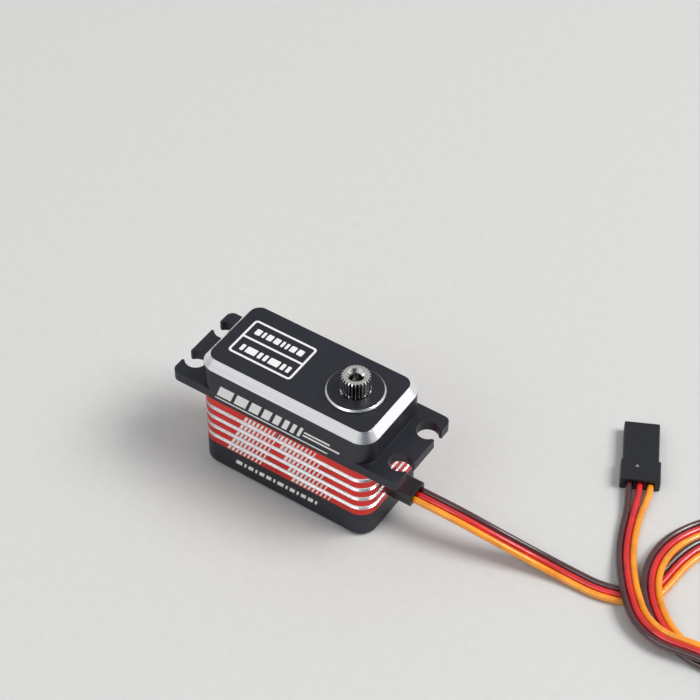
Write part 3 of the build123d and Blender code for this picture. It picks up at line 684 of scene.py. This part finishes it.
def dress_parts():
    dress(["top_case"], black_case_material())
    dress(["bottom_cover"], plain_black_material())
    dress(["middle_case"], red_case_material())
    steel = steel_material("ground_steel", (0.70, 0.70, 0.71), 0.28)
    dress(["output_shaft"], spline_material())
    dress(["output_gear", "first_reduction_gear", "second_reduction_gear", "third_reduction_gear"], steel)
    polished = steel_material("bearing_steel", (0.80, 0.81, 0.82), 0.14)
    dress([n for n in nodes if n.endswith("race") or n.endswith("balls")], polished)
    dress(["gear_pins", "rotor_shaft", "motor_bearings", "sensor_shaft", "rotor_magnet"], polished)
    dress(["case_screws", "motor_screws"], steel_material("black_oxide", (0.05, 0.05, 0.055), 0.35))
    dress(["motor_can", "stator_core"], steel_material("motor_steel", (0.45, 0.45, 0.47), 0.35))
    dress(["motor_end_cap"], steel_material("turned_aluminium", (0.60, 0.61, 0.63), 0.3))
    brass = steel_material("brass", (0.80, 0.60, 0.28), 0.25)
    dress(["motor_pinion", "connector_terminals"], brass)
    dress(["stator_windings", "sensor_leads"], steel_material("copper", (0.72, 0.32, 0.14), 0.3))
    rubber = plastic_material("black_rubber", (0.016, 0.016, 0.018), 0.38, grain=6.0, edge=0.15)
    dress(["upper_seal", "lower_seal", "strain_relief", "lead_tie"], rubber)
    plastic = plastic_material("black_nylon", (0.008, 0.009, 0.013), 0.34, grain=4.0, edge=0.12)
    dress(["connector_housing", "position_sensor"], plastic)
    dress(["control_board"], board_material())
    dress(["board_chips"], plastic_material("chip_epoxy", (0.04, 0.04, 0.045), 0.5))
    dress(["board_passives"], plastic_material("chip_ceramic", (0.50, 0.38, 0.26), 0.45))
    dress(["motor_leads", "inner_wires"], wire_material("pvc_inner", (0.70, 0.012, 0.010)))


# Stage -----------------------------------------------------------------------------------------------


FLOOR_REACH = 1.6
FLOOR_GAP = 0.0001
ROOM_LIGHT = (0.97, 0.98, 1.0, 1)
ROOM_DARK = (0.08, 0.11, 0.17, 1)
DARK_WAY = Vector((0.72, -0.52, 0.45)).normalized()


def make_floor():
    """A pale tabletop with a faint paper grain."""
    reach = FLOOR_REACH
    corners = [(-reach, -reach, 0), (reach, -reach, 0), (reach, reach, 0), (-reach, reach, 0)]
    floor = mesh_piece("floor", corners, [(0, 1, 2, 3)])
    floor.location.z = -FLOOR_GAP
    shader = Shader("tabletop", (0.61, 0.605, 0.59), 0.0, 0.75)
    grain = shader.noise(0.5, 3.0)
    tones = ((0.60, 0.595, 0.58), (0.62, 0.615, 0.60))
    shader.set("Base Color", shader.mix(shader.spread(grain, 0, 1), *tones))
    shader.bump(grain, 0.05, 0.3)
    floor.data.materials.append(shader.material)


def area_light(name, place, aim, size, power):
    data = bpy.data.lights.new(name, "AREA")
    data.shape = "RECTANGLE"
    data.size, data.size_y = size
    data.energy = power
    light = bpy.data.objects.new(name, data)
    scene.collection.objects.link(light)
    light.location = place
    light.rotation_euler = (Vector(aim) - Vector(place)).to_track_quat("-Z", "Y").to_euler()


def make_world():
    """Even studio light, with a darker part of the room that the case's rounded corner reflects."""
    world = bpy.data.worlds.new("studio")
    world.use_nodes = True
    tree = world.node_tree
    background = tree.nodes["Background"]
    background.inputs["Strength"].default_value = 0.5
    direction = tree.nodes.new("ShaderNodeTexCoord")
    towards = tree.nodes.new("ShaderNodeVectorMath")
    towards.operation = "DOT_PRODUCT"
    towards.inputs[1].default_value = DARK_WAY
    dark = tree.nodes.new("ShaderNodeMapRange")
    dark.inputs["From Min"].default_value = 0.82
    dark.inputs["From Max"].default_value = 0.98
    colour = tree.nodes.new("ShaderNodeMix")
    colour.data_type = "RGBA"
    colour.inputs[6].default_value = ROOM_LIGHT
    colour.inputs[7].default_value = ROOM_DARK
    tree.links.new(direction.outputs["Generated"], towards.inputs[0])
    tree.links.new(towards.outputs["Value"], dark.inputs["Value"])
    tree.links.new(dark.outputs["Result"], colour.inputs["Factor"])
    tree.links.new(colour.outputs[2], background.inputs["Color"])
    scene.world = world


def make_lights():
    make_world()
    centre = (0.01, 0.0, 0.01)
    area_light("key", (1.16, 0.61, 1.62), centre, (1.02, 1.02), 35.0)
    area_light("fill", (-0.10, -0.60, 0.75), centre, (0.5, 0.5), 1.6)
    area_light("low_front", (-0.30, -0.66, 0.28), centre, (0.7, 0.4), 0.2)
    area_light("end", (0.80, 0.58, 0.18), centre, (0.4, 0.3), 0.25)


make_camera()
make_floor()
make_lights()
make_lead(plug_triangle())
etched = mark_material()
for marks in (roof_label, side_stripes, band_hatch, cover_dashes):
    marks(etched)
dress_parts()
smooth_shading()
